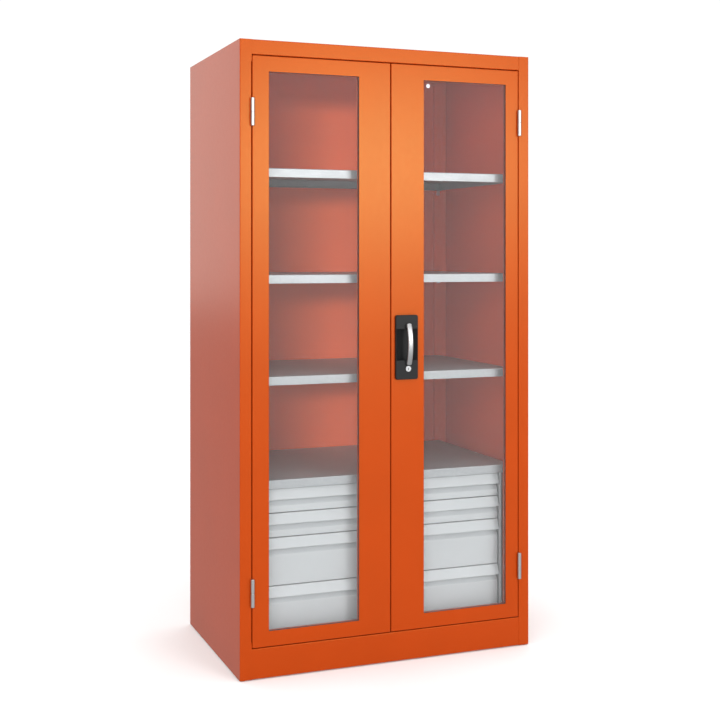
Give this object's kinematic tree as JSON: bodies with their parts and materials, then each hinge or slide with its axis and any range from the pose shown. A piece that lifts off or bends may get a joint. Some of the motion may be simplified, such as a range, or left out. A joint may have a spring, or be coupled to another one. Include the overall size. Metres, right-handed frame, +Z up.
{
  "type": "storage cabinet",
  "caption": "Tall two-door steel storage cabinet with glazed doors, shelves, a block of drawers, and a bow handle on a recessed plate that drives locking rods.",
  "frame": {"origin": "bottom centre of the whole cabinet's bounding box, its handle included; Z = 0 is the floor", "axes": "+X to the right seen from the front, +Y to the back, +Z up"},
  "size_m": [1, 0.6312, 1.95],
  "materials": {
    "orange_paint": "semi-gloss powder coat",
    "grey_paint": "semi-gloss powder coat",
    "galvanised_sheet": "matt galvanised sheet",
    "zinc_steel": "bright zinc plate",
    "hinge_steel": "satin plated barrels",
    "clear_glazing": "clear, smooth",
    "grey_foam": "dull closed-cell strip",
    "black_plastic": "fine-grained matte",
    "satin_chrome": "satin plate"
  },
  "bodies": {
    "cabinet": {"left_side_panel": "orange_paint", "right_side_panel": "orange_paint", "back_panel": "orange_paint", "roof_panel": "orange_paint", "header_rail": "orange_paint", "plinth_rail": "orange_paint", "floor_panel": "orange_paint", "rear_brace": "orange_paint", "door_seals": "grey_foam", "front_left_upright": "orange_paint", "front_right_upright": "orange_paint", "rear_left_upright": "orange_paint", "rear_right_upright": "orange_paint", "shelf_1": "galvanised_sheet", "shelf_2": "galvanised_sheet", "shelf_3": "galvanised_sheet", "shelf_4": "galvanised_sheet", "shelf_hooks": "zinc_steel", "left_drawer_cradle": "grey_paint", "right_drawer_cradle": "grey_paint", "fixed_runners": "zinc_steel", "hinge_frame_knuckles": "hinge_steel", "hinge_pins": "zinc_steel", "magnet_catches": "black_plastic", "levelling_feet": "orange_paint", "corner_gussets": "orange_paint"},
    "right_door": {"right_door_skin": "orange_paint", "right_door_inner_frame": "orange_paint", "right_window_pane": "clear_glazing", "right_window_tapes": "grey_foam", "right_hinge_knuckles": "hinge_steel", "handle_plate": "black_plastic", "rod_guides": "black_plastic", "lock_cover": "orange_paint", "cylinder_body": "satin_chrome"},
    "left_door": {"left_door_skin": "orange_paint", "left_door_inner_frame": "orange_paint", "left_window_pane": "clear_glazing", "left_window_tapes": "grey_foam", "left_hinge_knuckles": "hinge_steel", "catch_plates": "zinc_steel"},
    "handle": {"handle_lever": "satin_chrome", "handle_spindle": "zinc_steel", "drive_pinion": "zinc_steel"},
    "upper_rod": {"upper_lock_rod": "zinc_steel"},
    "lower_rod": {"lower_lock_rod": "zinc_steel"},
    "key": {"key_plug": "satin_chrome", "cylinder_cam": "zinc_steel"},
    "drawer_1": {"drawer_1_front": "grey_paint", "drawer_1_box": "grey_paint", "drawer_1_rails": "zinc_steel"},
    "drawer_2": {"drawer_2_front": "grey_paint", "drawer_2_box": "grey_paint", "drawer_2_rails": "zinc_steel"},
    "drawer_3": {"drawer_3_front": "grey_paint", "drawer_3_box": "grey_paint", "drawer_3_rails": "zinc_steel"},
    "drawer_4": {"drawer_4_front": "grey_paint", "drawer_4_box": "grey_paint", "drawer_4_rails": "zinc_steel"}
  },
  "joints": [
    {"name": "right_door_hinge", "type": "hinge", "parent": "cabinet", "child": "right_door", "pos_m": [0.46125, -0.29085, 0.998], "axis": [0, 0, 1], "range_deg": [0, 180]},
    {"name": "left_door_hinge", "type": "hinge", "parent": "cabinet", "child": "left_door", "pos_m": [-0.46125, -0.29085, 0.998], "axis": [0, 0, -1], "range_deg": [0, 180]},
    {"name": "drawer_1_slide", "type": "slide", "parent": "cabinet", "child": "drawer_1", "axis": [0, -1, 0], "range_m": [0, 0.2]},
    {"name": "drawer_2_slide", "type": "slide", "parent": "cabinet", "child": "drawer_2", "axis": [0, -1, 0], "range_m": [0, 0.2]},
    {"name": "drawer_3_slide", "type": "slide", "parent": "cabinet", "child": "drawer_3", "axis": [0, -1, 0], "range_m": [0, 0.2]},
    {"name": "drawer_4_slide", "type": "slide", "parent": "cabinet", "child": "drawer_4", "axis": [0, -1, 0], "range_m": [0, 0.2]},
    {"name": "handle_turn", "type": "hinge", "parent": "right_door", "child": "handle", "pos_m": [0.0565, -0.29335, 1.06725], "axis": [0, -1, 0], "range_deg": [0, 90]},
    {"name": "upper_rod_slide", "type": "slide", "parent": "right_door", "child": "upper_rod", "axis": [0, 0, 1], "range_m": [0, 0.019]},
    {"name": "lower_rod_slide", "type": "slide", "parent": "right_door", "child": "lower_rod", "axis": [0, 0, -1], "range_m": [0, 0.019]},
    {"name": "key_turn", "type": "hinge", "parent": "right_door", "child": "key", "pos_m": [0.0565, -0.29335, 0.9315], "axis": [0, 1, 0], "range_deg": [0, 90]}
  ],
  "couplings": [
    {"joint": "left_door_hinge", "follows": "right_door_hinge", "ratio": 1},
    {"joint": "drawer_1_slide", "follows": "right_door_hinge", "m_per_rad": 0.0636},
    {"joint": "drawer_2_slide", "follows": "right_door_hinge", "m_per_rad": 0.0636},
    {"joint": "drawer_3_slide", "follows": "right_door_hinge", "m_per_rad": 0.0636},
    {"joint": "drawer_4_slide", "follows": "right_door_hinge", "m_per_rad": 0.0636},
    {"joint": "upper_rod_slide", "follows": "handle_turn", "m_per_rad": 0.012},
    {"joint": "lower_rod_slide", "follows": "handle_turn", "m_per_rad": 0.012}
  ]
}
